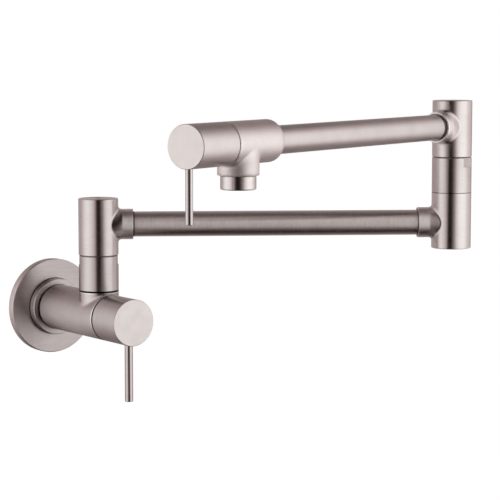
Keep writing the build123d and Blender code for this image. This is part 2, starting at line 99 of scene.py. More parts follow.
inner_arm_line = Line(at_height(lower_line, inner_height), inner_way)
inner_arm_end_line = Line(at_height(upper_line, inner_height), -inner_way)
outer_arm_line = Line(at_height(upper_line, outer_height), outlet_line.way)
spout_line = Line(outlet_line.point, -UP)
print("inner arm at", round(inner_height * 1000, 1), "mm, outer arm at", round(outer_height * 1000, 1), "mm")

# %% [markdown]
# ## The camera
#
# The photograph was taken with a long lens from the left of the tap and a little above it. A camera can be
# matched by eye, but a long lens hides errors of place. Here place and lens were worked out from some sixty
# edges found both in the photograph and on the model, so they are given as numbers.

# %% Camera
CAMERA_PLACE = (-0.7812, -1.3547, 0.2146)
CAMERA_AZIMUTH = math.radians(-35.93)
CAMERA_LOOK_DOWN = math.radians(6.234)
FOCAL_PIXELS = 1931.8
PICTURE_WIDTH = 500
SENSOR = 36.0


def direction(azimuth, height):
    """Towards a place in the studio, azimuth 0 being straight out from the wall."""
    return Vector((
        math.sin(azimuth) * math.cos(height), -math.cos(azimuth) * math.cos(height), math.sin(height),
    ))


def new_object(name, data):
    made = bpy.data.objects.new(name, data)
    bpy.context.scene.collection.objects.link(made)
    return made


def aim(thing, way):
    """Turns a camera or a lamp, both of which look down their own Z axis."""
    thing.rotation_mode = "QUATERNION"
    thing.rotation_quaternion = way.to_track_quat("-Z", "Y")


camera_data = bpy.data.cameras.new("photo_camera")
camera_data.sensor_width = SENSOR
camera_data.lens = FOCAL_PIXELS * SENSOR / PICTURE_WIDTH
camera = new_object("photo_camera", camera_data)
camera.location = CAMERA_PLACE
aim(camera, -direction(CAMERA_AZIMUTH, CAMERA_LOOK_DOWN))
bpy.context.scene.camera = camera
bpy.context.scene.view_settings.view_transform = "Standard"
print("lens", round(camera_data.lens, 1), "mm")

# %% [markdown]
# ## Helpers for node trees
#
# Materials, worlds and Geometry Nodes are all trees of nodes. Trees can be drawn by hand in the node
# editor, but a script can repeat them with other values. Short helpers keep that readable: they add a node,
# fill in its sockets and hand back the socket that the next node needs.

# %% Helpers that add nodes


def add(tree, kind, inputs=None, **settings):
    """A new node. inputs maps socket names or numbers to values or sockets, settings are its own options."""
    node = tree.nodes.new(kind)
    for name, value in settings.items():
        setattr(node, name, value)
    for key, value in (inputs or {}).items():
        if isinstance(value, bpy.types.NodeSocket):
            tree.links.new(value, node.inputs[key])
        else:
            node.inputs[key].default_value = value
    return node


def maths(tree, operation, *values):
    return add(tree, "ShaderNodeMath", dict(enumerate(values)), operation=operation).outputs[0]


def vectors(tree, operation, *values):
    node = add(tree, "ShaderNodeVectorMath", dict(enumerate(values)), operation=operation)
    return node.outputs["Value" if operation in ("LENGTH", "DOT_PRODUCT", "DISTANCE") else "Vector"]


def scaled(tree, vector, factor):
    return add(tree, "ShaderNodeVectorMath", {0: vector, "Scale": factor}, operation="SCALE").outputs[0]


def empty_material(name):
    material = bpy.data.materials.new(name)
    material.use_nodes = True
    material.node_tree.nodes.clear()
    return material, material.node_tree


def finished(tree, shader, kind="ShaderNodeOutputMaterial"):
    add(tree, kind, {"Surface": shader.outputs[0]})


print("helpers for nodes")

# %% [markdown]
# ### Ranges, mixtures and noise
#
# Most of a finish is a value that changes over a surface. It fades from one level to another, mixes two
# others, or is noise, which is the irregularity of every real surface. Each of these is one node with its
# own helper.

# %% Helpers that mix values


def fading(tree, value, start, end, low=0.0, high=1.0):
    """low where the value is below start, high where it is above end."""
    return add(tree, "ShaderNodeMapRange", {0: value, 1: start, 2: end, 3: low, 4: high}).outputs[0]


def mixed(tree, share, first, second):
    return add(tree, "ShaderNodeMix", {0: share, 2: first, 3: second}).outputs[0]


def mixed_vector(tree, share, first, second):
    return add(tree, "ShaderNodeMix", {0: share, 4: first, 5: second}, data_type="VECTOR").outputs[1]


def mixed_colour(tree, share, first, second, blend="MIX"):
    node = add(tree, "ShaderNodeMix", {0: share, 6: first, 7: second}, data_type="RGBA", blend_type=blend)
    return node.outputs[2]


def noise(tree, vector, scale, detail, roughness=0.6):
    inputs = {"Vector": vector, "Scale": scale, "Detail": detail, "Roughness": roughness}
    return add(tree, "ShaderNodeTexNoise", inputs).outputs["Fac"]


print("helpers for values")

# %% [markdown]
# ## The studio: white all round, as the camera sees it
#
# Metal has almost no colour of its own: it shows the room. The photograph has a pure white background,
# which could be pasted in behind the tap, but then the metal wouldn't mirror it. So the world itself is
# white for the camera and for reflections, and dimmer for the light that falls on rubber, plastic and the
# floor.

# %% White world
WHITE = (1, 1, 1, 1)
PLAIN_LIGHT = 0.9


def seen_directly(tree):
    """1 for rays of the camera, of gloss and of glass, 0 for the light that falls on dull surfaces."""
    path = add(tree, "ShaderNodeLightPath").outputs
    seen = maths(tree, "MAXIMUM", path["Is Camera Ray"], path["Is Glossy Ray"])
    return maths(tree, "MAXIMUM", seen, path["Is Transmission Ray"])


world = bpy.data.worlds.new("white_studio")
bpy.context.scene.world = world
world.use_nodes = True
tree = world.node_tree
tree.nodes.clear()
level = mixed(tree, seen_directly(tree), PLAIN_LIGHT, 1.0)
white_air = add(tree, "ShaderNodeBackground", {"Color": WHITE, "Strength": level})
finished(tree, white_air, "ShaderNodeOutputWorld")
print("world of 1.0 for the camera and", PLAIN_LIGHT, "for dull surfaces")

# %% [markdown]
# ### The floor
#
# The tap hangs on a wall, high above a pale floor that keeps its soft shadow. A dull white floor alone
# would look grey beside the white world, so it also glows a little for the camera and for reflections. From
# below it is clear, so that the tap can be looked at from there too.

# %% Floor
FLOOR_HEIGHT = -1.0
FLOOR_SIZE = 30.0
FLOOR_GLOW = 0.75
FLOOR_COLOUR = (0.3, 0.3, 0.3, 1)

half = FLOOR_SIZE / 2
corners = [(-half, -half), (half, -half), (half, half), (-half, half)]
floor_mesh = bpy.data.meshes.new("floor")
floor_mesh.from_pydata([(x, y, FLOOR_HEIGHT) for x, y in corners], [], [(0, 1, 2, 3)])
floor = new_object("floor", floor_mesh)
floor_paint, tree = empty_material("pale_floor")
glow = maths(tree, "MULTIPLY", seen_directly(tree), FLOOR_GLOW)
paint = add(tree, "ShaderNodeBsdfDiffuse", {"Color": FLOOR_COLOUR}).outputs[0]
glowing = add(tree, "ShaderNodeEmission", {"Color": WHITE, "Strength": glow}).outputs[0]
upper_side = add(tree, "ShaderNodeAddShader", {0: paint, 1: glowing}).outputs[0]
from_below = add(tree, "ShaderNodeNewGeometry").outputs["Backfacing"]
clear = add(tree, "ShaderNodeBsdfTransparent").outputs[0]
finished(tree, add(tree, "ShaderNodeMixShader", {0: from_below, 1: upper_side, 2: clear}))
floor_mesh.materials.append(floor_paint)
print("floor at", FLOOR_HEIGHT, "m")

# %% [markdown]
# ## The light tent that the metal mirrors
#
# Shiny products are photographed inside a light tent: white cloth all round, with a slit for the lens. The
# slit is the hard dark line down the middle of each post. Left and right of it the cloth is lit, behind the
# tap it is dimmer, and above and below it fades into the dark room. Here is that cloth in figures: how
# bright it is at each bearing from the lens, how that fades with height on each side, and its tint, because
# dim cloth looks rosier. Bearings and heights are in degrees.

# %% Levels of light in the tent
ROUND_THE_TENT = (
    (-180, 0.30), (-130, 0.33), (-115, 0.35), (-100, 0.49), (-88, 0.69), (-75, 0.87), (-60, 0.89),
    (-45, 0.76), (-28, 0.52), (-22, 0.34), (-18, 0.16), (-14, 0.03), (-8, 0.0), (8, 0.02), (16, 0.13),
    (25, 0.27), (31, 0.51), (40, 0.76), (52, 0.97), (67, 1.0), (82, 0.97), (94, 0.73), (107, 0.56),
    (122, 0.51), (140, 0.28), (180, 0.30),
)
LEFT_HEIGHTS = (
    (-65, 0.0), (-50, 0.29), (-36, 0.53), (-22, 0.78), (-8, 1.0), (8, 1.0), (22, 0.93), (36, 0.7), (50, 0.39),
    (65, 0.17), (90, 0.0),
)
RIGHT_HEIGHTS = (
    (-65, 0.0), (-50, 0.03), (-36, 0.28), (-22, 0.79), (-8, 1.0), (22, 1.0), (36, 0.79), (50, 0.38),
    (65, 0.03), (90, 0.0),
)
BEHIND_HEIGHTS = (
    (-90, 0.0), (-65, 0.13), (-50, 0.54), (-36, 0.83), (0, 0.97), (22, 1.0), (36, 0.88), (50, 0.59),
    (65, 0.32), (90, 0.0),
)
CLOTH_TINTS = (
    (0.0, (0.95, 0.75, 0.70)), (0.14, (1.0, 0.835, 0.805)), (0.29, (0.975, 0.84, 0.84)),
    (0.5, (0.95, 0.86, 0.875)), (0.71, (0.905, 0.905, 0.905)), (1.0, (0.87, 0.88, 0.88)),
)
LENS_BLEND = 10
BEHIND_FROM, BEHIND_TO = 100, 130
print(len(ROUND_THE_TENT), "levels round the tent")

# %% [markdown]
# ### The tent itself
#
# Square lamps would show their corners in the metal, and a photographed room would bring its own things. A
# large glowing ball has neither fault. Only reflections can see it. Its glow comes from colour ramps that
# hold the levels above.

# %% Light tent
TENT_CENTRE = (0.094, -0.147, 0.052)
TENT_RADIUS = 0.9
TENT_BRIGHTEST = 1.75


def ramp(tree, factor, stops, lowest=0.0, highest=1.0):
    """A colour ramp over a range. Each stop has a place and a grey level or a colour."""
    node = add(tree, "ShaderNodeValToRGB", {"Fac": factor})
    elements = node.color_ramp.elements
    while len(elements) < len(stops):
        elements.new(0.5)
    for element, (place, level) in zip(elements, stops):
        element.position = (place - lowest) / (highest - lowest)
        element.color = (*(level if isinstance(level, tuple) else (level,) * 3), 1)
    return node.outputs["Color"]


bpy.ops.mesh.primitive_ico_sphere_add(subdivisions=5, radius=TENT_RADIUS, location=TENT_CENTRE)
tent = bpy.context.object
tent.name = "light_tent"
cloth, tree = empty_material("tent_cloth")
cloth.cycles.emission_sampling = "NONE"
place = add(tree, "ShaderNodeTexCoord").outputs["Object"]
turned = add(tree, "ShaderNodeMapping", {"Vector": place, "Rotation": (0, 0, -CAMERA_AZIMUTH)}).outputs[0]
aside = add(tree, "ShaderNodeSeparateXYZ", {0: vectors(tree, "NORMALIZE", turned)}).outputs
bearing = maths(tree, "ARCTAN2", aside["X"], maths(tree, "MULTIPLY", aside["Y"], -1.0))
share_round = maths(tree, "MULTIPLY_ADD", bearing, 1 / (2 * math.pi), 0.5)
share_up = maths(tree, "MULTIPLY_ADD", maths(tree, "ARCSINE", aside["Z"]), 1 / math.pi, 0.5)
round_light = ramp(tree, share_round, ROUND_THE_TENT, -180, 180)
left, right, behind = (
    ramp(tree, share_up, stops, -90, 90) for stops in (LEFT_HEIGHTS, RIGHT_HEIGHTS, BEHIND_HEIGHTS)
)
rightwards = fading(tree, bearing, math.radians(-LENS_BLEND), math.radians(LENS_BLEND))
off_lens = maths(tree, "ABSOLUTE", bearing)
backwards = fading(tree, off_lens, math.radians(BEHIND_FROM), math.radians(BEHIND_TO))
height_light = mixed_colour(tree, backwards, mixed_colour(tree, rightwards, left, right), behind)
light = mixed_colour(tree, 1.0, round_light, height_light, "MULTIPLY")
tinted = mixed_colour(tree, 1.0, light, ramp(tree, light, CLOTH_TINTS), "MULTIPLY")
finished(tree, add(tree, "ShaderNodeEmission", {"Color": tinted, "Strength": TENT_BRIGHTEST}))
tent.data.materials.append(cloth)
tent.visible_camera = tent.visible_diffuse = tent.visible_transmission = tent.visible_shadow = False
print("tent of", TENT_RADIUS, "m radius")

# %% [markdown]
# ### A soft lamp for the floor's shadow
#
# The tent lights only reflections, so a lamp above gives the floor its faint shadow and the dull pieces a
# side that faces the light. A round lamp over a metre wide makes a shadow without an edge. The metal
# doesn't mirror it.

# %% Soft lamp
LAMP_PLACE = (-0.3, -0.9, 1.6)
LAMP_WIDTH = 1.2
LAMP_POWER = 6.0

lamp_data = bpy.data.lights.new("overhead_softbox", "AREA")
lamp_data.shape = "DISK"
lamp_data.size = LAMP_WIDTH
lamp_data.energy = LAMP_POWER
lamp = new_object("overhead_softbox", lamp_data)
lamp.location = LAMP_PLACE
aim(lamp, Vector(TENT_CENTRE) - lamp.location)
lamp.visible_glossy = False
print("lamp of", LAMP_POWER, "W")

# %% [markdown]
# ## What a brush leaves on steel
#
# An abrasive leaves thousands of fine lines, each a few millimetres long. Across them the surface is rough,
# along them it is nearly smooth. A picture of them could be wrapped round each piece, but it would stretch
# and show its seam. Two node groups draw the lines instead, as noise that changes quickly across them and
# slowly along them: one for lines that run round an axis, one for straight lines. Both give a shade and a
# height.

# %% Shader groups for brush lines
NUMBER, VECTOR = "NodeSocketFloat", "NodeSocketVector"
LINE_WIDTH = 0.0012
STREAK_LENGTH = 0.005
MIDDLE_SHADE = 0.5
AXIS_SOCKETS = (("Point", VECTOR, (0, 0, 0)), ("Way", VECTOR, (0, 0, 1)))
LINE_SOCKETS = (
    ("Line Width", NUMBER, LINE_WIDTH), ("Streak Length", NUMBER, STREAK_LENGTH), ("Contrast", NUMBER, 1.0),
)
LINE_OUTPUTS = (("Shade", NUMBER), ("Height", NUMBER))


def new_group(name, inputs, outputs):
    group = bpy.data.node_groups.new(name, "ShaderNodeTree")
    for label, kind, value in inputs:
        group.interface.new_socket(label, in_out="INPUT", socket_type=kind).default_value = value
    for label, kind in outputs:
        group.interface.new_socket(label, in_out="OUTPUT", socket_type=kind)
    return group, group.nodes.new("NodeGroupInput").outputs, group.nodes.new("NodeGroupOutput").inputs


def seen_from_axis(group, given):
    """A surface point as measured from the axis's point, and as the pair of its station and its radius."""
    place = add(group, "ShaderNodeTexCoord").outputs["Object"]
    from_point = vectors(group, "SUBTRACT", place, given["Point"])
    station = vectors(group, "DOT_PRODUCT", from_point, given["Way"])
    distance = vectors(group, "LENGTH", vectors(group, "CROSS_PRODUCT", given["Way"], from_point))
    return from_point, add(group, "ShaderNodeCombineXYZ", {0: station, 1: distance}).outputs[0]


def line_noise(group, given, result, quick, slow):
    """Ends a group of brush lines: quick is the vector that changes across them, slow the one along them."""
    fine = scaled(group, quick, maths(group, "DIVIDE", 1.0, given["Line Width"]))
    long = scaled(group, slow, maths(group, "DIVIDE", 1.0, given["Streak Length"]))
    lines = noise(group, vectors(group, "ADD", fine, long), 1.0, detail=5.0, roughness=0.68)
    contrast = maths(group, "MULTIPLY", maths(group, "SUBTRACT", lines, MIDDLE_SHADE), given["Contrast"])
    group.links.new(maths(group, "ADD", contrast, MIDDLE_SHADE), result["Shade"])
    group.links.new(lines, result["Height"])


turned_lines, given, result = new_group("turned_lines", AXIS_SOCKETS + LINE_SOCKETS, LINE_OUTPUTS)
from_point, station_and_radius = seen_from_axis(turned_lines, given)
line_noise(turned_lines, given, result, station_and_radius, from_point)

straight_lines, given, result = new_group("straight_lines", AXIS_SOCKETS[1:] + LINE_SOCKETS, LINE_OUTPUTS)
place = add(straight_lines, "ShaderNodeTexCoord").outputs["Object"]
along = scaled(straight_lines, given["Way"], vectors(straight_lines, "DOT_PRODUCT", place, given["Way"]))
line_noise(straight_lines, given, result, vectors(straight_lines, "SUBTRACT", place, along), along)
print("groups", turned_lines.name, "and", straight_lines.name)

# %% [markdown]
# ## Joints: painted shade and painted highlights
#
# Where two pieces meet, the joint is a fine gap, and the corners beside it mirror the lit cloth. Here both
# are painted: the gap and the surface beside it as painted shade, the corners as a painted highlight. They
# could be painted by hand on each piece. But a joint is a circle about an axis, so one group can mark all
# of them: it measures how far a point of the surface lies from that circle.

# %% Shader group for joints
MARK_SOFTNESS = 1.3

joint_mark, given, result = new_group(
    "joint_mark",
    AXIS_SOCKETS + (("Station", NUMBER, 0.0), ("Radius", NUMBER, 0.01), ("Half Width", NUMBER, 0.0004)),
    (("Mask", NUMBER),),
)
circle = add(joint_mark, "ShaderNodeCombineXYZ", {0: given["Station"], 1: given["Radius"]}).outputs[0]
away = vectors(joint_mark, "DISTANCE", seen_from_axis(joint_mark, given)[1], circle)
edge = maths(joint_mark, "MULTIPLY", given["Half Width"], MARK_SOFTNESS)
joint_mark.links.new(fading(joint_mark, away, given["Half Width"], edge, 1.0, 0.0), result["Mask"])
print("group", joint_mark.name)

# %% [markdown]
# ### Signs of handling
#
# Handling and polishing leave steel, brass and plastic a little paler here and duller there, in patches
# without an edge. Two slow noises give them, in one group, because every material of the tap shows such
# patches, each at its own size.

# %% Shader group for handling
DULLING_FINENESS = 2.3

handling, given, result = new_group(
    "handling", (("Patch Size", NUMBER, 0.02),), (("Tone", NUMBER), ("Dulling", NUMBER)),
)
place = add(handling, "ShaderNodeTexCoord").outputs["Object"]
spread = maths(handling, "DIVIDE", 1.0, given["Patch Size"])
finer = maths(handling, "MULTIPLY", spread, DULLING_FINENESS)
handling.links.new(noise(handling, place, spread, detail=3.0), result["Tone"])
handling.links.new(noise(handling, place, finer, detail=2.0), result["Dulling"])
print("group", handling.name)

# %% [markdown]
# ## Which way a reflection spreads
#
# The lines spread each reflection across themselves and keep it sharp along themselves. That is why a post,
# whose lines run round it, shows one crisp dark stripe from top to bottom, and why the first arm, whose
# lines run round it too, looks grey: it spreads the slit and the bright cloth beside it into one another.
# The shader calls this anisotropy. It could follow a tangent of each mesh, but these meshes have none, so
# the direction across the lines is worked out: it is the surface's normal crossed with the lines.

# %% Directions across the lines


def in_world(tree, vector):
    node = add(
        tree, "ShaderNodeVectorTransform", {0: vector},
        vector_type="VECTOR", convert_from="OBJECT", convert_to="WORLD",
    )
    return node.outputs[0]


def across_lines(tree, lines, normal):
    return vectors(tree, "NORMALIZE", vectors(tree, "CROSS_PRODUCT", normal, in_world(tree, lines)))


def across_turned(tree, line, normal):
    """The direction across lines that run round an axis, and the distances from the axis and along it."""
    from_point = vectors(tree, "SUBTRACT", add(tree, "ShaderNodeTexCoord").outputs["Object"], line.point)
    round_axis = vectors(tree, "CROSS_PRODUCT", line.way, from_point)
    radius, station = vectors(tree, "LENGTH", round_axis), vectors(tree, "DOT_PRODUCT", line.way, from_point)
    return across_lines(tree, round_axis, normal), radius, station


def group_node(tree, group, **values):
    """A group in a material. line_width=1 fills in its socket Line Width, and so on."""
    node = add(tree, "ShaderNodeGroup", node_tree=group)
    for name, value in values.items():
        node.inputs[name.replace("_", " ").title()].default_value = value
    return node.outputs


def round_lines(tree, line, **look):
    return group_node(tree, turned_lines, point=line.point, way=line.way, **look)


print("helpers for directions")

# %% [markdown]
# ## Layers of lines on one piece
#
# A tee has lines of two kinds: those of its post, and those of the collar that holds the arm. The second
# kind takes over at a distance from the first axis. Flat faces square to the axis are brushed straight
# instead. Each piece could be cut up into faces with their own materials, but the meshes must stay whole,
# so one material holds the kinds as layers, and a share says where each of them shows.

# %% Layers of brush lines
LEAD_FROM = 0.6
FLAT_FROM, FLAT_TO = 0.97, 0.99
FLAT_STREAKS, FLAT_CONTRAST = 3, 0.6
Layer = namedtuple("Layer", "share across marks tone rougher")


class Beyond:
    """A second axis, whose lines take over past a distance: from the first axis, or along the second one.

    Some of them, the lead, already show a little before that distance."""

    def __init__(self, line, distance, blend=0.0003, along=False, tone=1.0, rougher=0.0, lead=0.0):
        self.line, self.distance, self.blend, self.along = line, distance, blend, along
        self.tone, self.rougher, self.lead = tone, rougher, lead

    def share(self, tree, radius, station):
        measure = station if self.along else radius
        taken = fading(tree, measure, self.distance, self.distance + self.blend)
        if not self.lead:
            return taken
        led = fading(tree, measure, self.distance * LEAD_FROM, self.distance, 0.0, self.lead)
        return maths(tree, "MAXIMUM", taken, led)

    def layer(self, tree, radius, normal, contrast):
        across, _, station = across_turned(tree, self.line, normal)
        marks = round_lines(tree, self.line, contrast=contrast)
        return Layer(self.share(tree, radius, station), across, marks, self.tone, self.rougher)


def flat_layer(tree, line, way, normal, contrast, tone):
    """Straight lines on the faces that lie square to an axis, and a tone that paints those faces paler or darker
    as painted light.
    """
    squareness = maths(tree, "ABSOLUTE", vectors(tree, "DOT_PRODUCT", normal, in_world(tree, line.way)))
    marks = group_node(
        tree, straight_lines, way=way, streak_length=STREAK_LENGTH * FLAT_STREAKS,
        contrast=contrast * FLAT_CONTRAST,
    )
    share = fading(tree, squareness, FLAT_FROM, FLAT_TO)
    return Layer(share, across_lines(tree, way, normal), marks, tone, 0.0)


print("layers for collars and flat faces")

# %% [markdown]
# ## The steel's colour
#
# Brushed steel is a warm grey, a little darker in its lines than between them, and paler where it has been
# handled. Circles are painted over it: painted shade in and beside the gaps, a painted highlight on the edges
# beside them, a painted reflection of a gap, and the painted shadow that a collar throws on its tube. A gap
# could be left to the light alone, but in a small picture it is narrower than a pixel and would vanish.

# %% Steel colour
STEEL = (0.640, 0.592, 0.574)
# painted shade: the gaps are real, but the near-black in and beside them stands in for their shade
GAP_SHADE = (0.030, 0.024, 0.022, 1)
SHADOW_COLOUR = (0.300, 0.260, 0.250, 1)
# painted highlight: near-white on the chamfers and end faces beside a joint, where they mirror the lit cloth
PAINTED_HIGHLIGHT = (0.98, 0.95, 0.93, 1)
LINE_SHADES = (0.84, 1.16)
WORN_SHADES = (0.96, 1.04)
USUAL_NOISE = (0.3, 0.7)
Circle = namedtuple("Circle", "line station radius half_width")


def steel_colour(tree, shade, patches, level, tone, mauve):
    """tone makes a piece paler or darker, and mauve takes some of its green and blue away."""
    base = Vector(STEEL) * tone
    base = Vector((base.x, base.y * (1 - mauve), base.z * (1 - mauve)))
    dark, pale = ((*(base * share), 1) for share in LINE_SHADES)
    worn = maths(tree, "MULTIPLY", fading(tree, patches["Tone"], *USUAL_NOISE, *WORN_SHADES), level)
    return mixed_colour(tree, 1.0, mixed_colour(tree, shade, dark, pale), worn, "MULTIPLY")


def painted(tree, colour, circles, paint):
    for circle in circles:
        mask = group_node(
            tree, joint_mark, point=circle.line.point, way=circle.line.way, station=circle.station,
            radius=circle.radius, half_width=circle.half_width,
        )["Mask"]
        colour = mixed_colour(tree, mask, colour, paint)
    return colour


print("steel of colour", STEEL)

# %% [markdown]
# ## Brushed steel, put together
#
# One function makes the steel of every piece, because they are all of one metal and differ only in how they
# were held against the belt. The belt also rubs a casting's inner corners soft, as where the spout meets
# the valve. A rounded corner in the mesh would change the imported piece, so the shader softens it: it bends
# the normal near the corner.

# %% Brushed steel
PATCH_SIZE = 0.018
LINE_DULLING, PATCH_DULLING = 0.04, 0.015
SOFTENING_SAMPLES = 8


def brushed_steel(
    name, line, beyond=None, flats=None, flats_painted_shading=1.0, gaps=(), edges=(), shadows=(), tone=1.0, mauve=0.0,
    roughness=0.33, anisotropy=0.94, contrast=1.0, bump=0.00001, softened=0.0,
):
    """flats is the way of the straight lines; gaps, edges and shadows are Circles of painted shade, painted
    highlight and painted shadow; softened is a radius.
    """
    material, tree = empty_material(name)
    normal = add(tree, "ShaderNodeNewGeometry").outputs["Normal"]
    if softened:
        normal = add(tree, "ShaderNodeBevel", {"Radius": softened}, samples=SOFTENING_SAMPLES).outputs[0]
    across, radius, _ = across_turned(tree, line, normal)
    marks = round_lines(tree, line, contrast=contrast)
    shade, height, level, satin = marks["Shade"], marks["Height"], 1.0, roughness
    layers = []
    if beyond:
        layers.append(beyond.layer(tree, radius, normal, contrast))
    if flats:
        layers.append(flat_layer(tree, line, flats, normal, contrast, flats_painted_shading))
    for layer in layers:
        across = mixed_vector(tree, layer.share, across, layer.across)
        shade = mixed(tree, layer.share, shade, layer.marks["Shade"])
        height = mixed(tree, layer.share, height, layer.marks["Height"])
        level = mixed(tree, layer.share, level, layer.tone)
        satin = mixed(tree, layer.share, satin, roughness + layer.rougher)
    patches = group_node(tree, handling, patch_size=PATCH_SIZE)
    colour = steel_colour(tree, shade, patches, level, tone, mauve)
    # painted shadow, painted highlight and painted shade, laid over the steel's colour in that order
    for circles, paint in ((shadows, SHADOW_COLOUR), (edges, PAINTED_HIGHLIGHT), (gaps, GAP_SHADE)):
        colour = painted(tree, colour, circles, paint)
    dulled = fading(tree, patches["Dulling"], *USUAL_NOISE, -PATCH_DULLING, PATCH_DULLING)
    uneven = maths(tree, "ADD", fading(tree, shade, 0.0, 1.0, -LINE_DULLING, LINE_DULLING), dulled)
    raised = add(tree, "ShaderNodeBump", {"Height": height, "Distance": bump, "Normal": normal}).outputs[0]
    finished(tree, add(tree, "ShaderNodeBsdfPrincipled", {
        "Base Color": colour, "Metallic": 1.0, "Roughness": maths(tree, "ADD", satin, uneven),
        "Anisotropic": anisotropy, "Normal": raised, "Tangent": across,
    }))
    return material


dressed = {}


def finish(node, material):
    """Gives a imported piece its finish."""
    dressed[node] = material
    shown = frame["nodes"][node]
    if not shown.material_slots:
        shown.data.materials.append(material)
    for slot in shown.material_slots:
        slot.material = material


print("steel with lines", LINE_WIDTH * 1000, "mm wide")

# %% [markdown]
# ## Where the joints are
#
# A joint's circle needs the corner where two pieces meet. It could be searched for in the meshes, but the
# few sizes of the real tap say it more plainly: radii of the turned pieces, and the stations of their ends.
# The marks' half widths are judged against the photograph.

# %% Sizes that the joints need
POST, BARREL, OUTLET_BARREL, BRANCH, TUBE, COLLAR = 0.0155, 0.0180, 0.0145, 0.01185, 0.0098, 0.0224
FLANGE_FACE, COLLAR_GAP = 0.0065, 0.0136
BRANCH_END, COLLAR_START = 0.0270, 0.0184
SLEEVE_SEAT, STUB_EDGE = 0.0200, 0.0191
KNOB_JOINT, KNOB_EDGE = 0.0184, 0.0171
OUTLET_KNOB_JOINT, OUTLET_KNOB_EDGE = 0.0183, 0.0173
SOCKET = TUBE + 0.0003
KNOB_GAP_DEPTH = 0.0002
wall_distance = -wall_line.point.y
upper_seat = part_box("upper_swivel_sleeve")[0].z - upper_line.point.z

# Circles of painted shade at the joints, and of painted highlight on the edges beside them
lower_joint = Circle(lower_line, SLEEVE_SEAT, POST, half_width=0.00065)
lower_edge = Circle(lower_line, STUB_EDGE, POST, half_width=0.0004)
upper_joint = Circle(upper_line, upper_seat, POST, half_width=0.0002)
collar_foot = Circle(wall_line, FLANGE_FACE - wall_distance, COLLAR, half_width=0.0005)
collar_gap = Circle(wall_line, COLLAR_GAP - wall_distance, BARREL, half_width=0.0011)
wall_knob_joint = Circle(wall_line, KNOB_JOINT, BARREL - KNOB_GAP_DEPTH, half_width=0.0009)
wall_knob_edge = Circle(wall_line, KNOB_EDGE, BARREL, half_width=0.0005)
outlet_knob_joint = Circle(
    outlet_line, OUTLET_KNOB_JOINT, OUTLET_BARREL - KNOB_GAP_DEPTH, half_width=0.00048,
)
outlet_knob_edge = Circle(outlet_line, OUTLET_KNOB_EDGE, OUTLET_BARREL, half_width=0.0006)
inner_gap = Circle(inner_arm_line, BRANCH_END, SOCKET, half_width=0.00085)
inner_end_gap = Circle(inner_arm_end_line, BRANCH_END, SOCKET, half_width=0.00042)
outer_gap = Circle(outer_arm_line, BRANCH_END, SOCKET, half_width=0.00045)
outer_edge = Circle(outer_arm_line, BRANCH_END, BRANCH, half_width=0.0014)
collar_shadow = Circle(outer_arm_line, BRANCH_END + 0.0012, TUBE, half_width=0.0012)
# painted reflection: a dark ring on the tube, where it mirrors the gap at the collar's end
painted_gap_reflection = Circle(outer_arm_line, BRANCH_END + 0.0024, TUBE, half_width=0.0005)
print("first valve", round(wall_distance * 1000), "mm from the wall")

# %% [markdown]
# ## The steel pieces on the wall
#
# The flange is a pressed plate with a collar, brushed straight across. The valve is a turned barrel with a
# short upright stub, and its knob is brushed up the front. The lever is drawn rod, polished finer than the
# rest. One material for all would be simpler, but no two pieces come off the belt with quite the same tone,
# so each gets its own axis, joints and tone.

# %% Wall side
# The flange's flat face is painted darker than the rest of it: painted shade.
finish("wall_flange", brushed_steel(
    "flange_steel", wall_line, flats=ALONG_THE_WALL, flats_painted_shading=0.78, gaps=(collar_foot,),
    tone=1.01, mauve=0.025, contrast=2.2,
))
finish("valve_body", brushed_steel(
    "wall_valve_steel", wall_line, Beyond(lower_line, BARREL - 0.001, blend=0.003), softened=0.004,
    gaps=(lower_joint, wall_knob_joint, collar_gap), edges=(wall_knob_edge, lower_edge),
    tone=0.94, mauve=0.015, contrast=1.3,
))
finish("lower_swivel_sleeve", brushed_steel("lower_sleeve_steel", lower_line, gaps=(lower_joint,), tone=0.91))
# The knob's flat front is painted paler than its side: painted light.
finish("wall_knob", brushed_steel(
    "wall_knob_steel", wall_line, flats=UP, flats_painted_shading=1.15, gaps=(wall_knob_joint,), tone=0.93,
))
finish("wall_lever", brushed_steel(
    "wall_lever_steel", Line(sum(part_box("wall_lever"), Vector()) / 2, UP),
    roughness=0.10, tone=0.80, mauve=0.05,
))
print("steel on the wall side")

# %% [markdown]
# ## The steel pieces of the arms
#
# Each arm is a drawn tube between two turned tees. The collar that holds a tube is brushed round the tube,
# a little more coarsely than the post. The outlet valve was buffed softer than the rest, so its lines
# hardly spread a reflection one way more than the other. That could be a separate metal, but lower
# anisotropy in the same one says it better.

# %% Arms


# The collar is painted paler than the post: painted light, which stands in for the brighter reflection that the
# collar shows.
def branch_collar(line):
    return Beyond(line, COLLAR_START, along=True, tone=1.2, rougher=0.09, lead=0.45)


finish("inner_tee", brushed_steel(
    "inner_tee_steel", lower_line, branch_collar(inner_arm_line), gaps=(inner_gap,),
))
finish("inner_arm_tube", brushed_steel(
    "inner_arm_steel", inner_arm_line, gaps=(inner_gap, inner_end_gap),
    roughness=0.37, anisotropy=0.98, tone=1.08, mauve=0.02, contrast=1.5,
))
finish("outer_tee", brushed_steel(
    "outer_tee_steel", upper_line, branch_collar(inner_arm_end_line), gaps=(inner_end_gap, upper_joint),
    tone=1.04,
))
finish("upper_swivel_sleeve", brushed_steel("upper_sleeve_steel", upper_line, gaps=(upper_joint,), tone=0.93))
finish("outlet_arm_tee", brushed_steel(
    "outlet_arm_tee_steel", upper_line, branch_collar(outer_arm_line), gaps=(outer_gap,),
    edges=(outer_edge,), tone=1.03,
))
finish("outer_arm_tube", brushed_steel(
    "outer_arm_steel", outer_arm_line, gaps=(painted_gap_reflection,), shadows=(collar_shadow,),
    roughness=0.31, tone=1.06, contrast=0.5, bump=0.000004,
))
